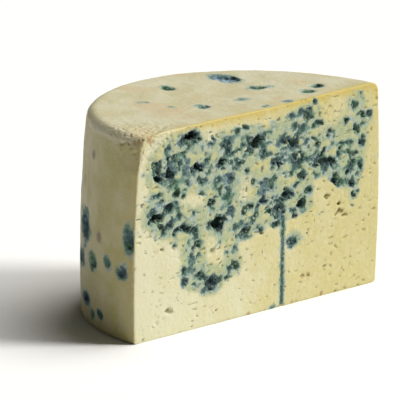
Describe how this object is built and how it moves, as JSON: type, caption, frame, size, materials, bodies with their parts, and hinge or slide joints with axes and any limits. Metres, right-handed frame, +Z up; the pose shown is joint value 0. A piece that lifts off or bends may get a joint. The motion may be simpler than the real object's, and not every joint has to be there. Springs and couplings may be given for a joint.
{
  "type": "blue cheese half wheel",
  "caption": "Half of a rindless blue cheese wheel standing on its flat base, cut once through the middle, with mould-lined hollows in the cut and shallow pits in the rind.",
  "frame": {"origin": "on the flat base, under the middle of the half disc's bounding box", "axes": "+Z up; +X along the cut from its worn left corner to its right one; the cut faces -Y and the curved rind +Y"},
  "size_m": [0.18, 0.09, 0.1059],
  "materials": {
    "cheese": "matte"
  },
  "bodies": {
    "root": {"cheese_half_wheel": "cheese"}
  },
  "joints": []
}
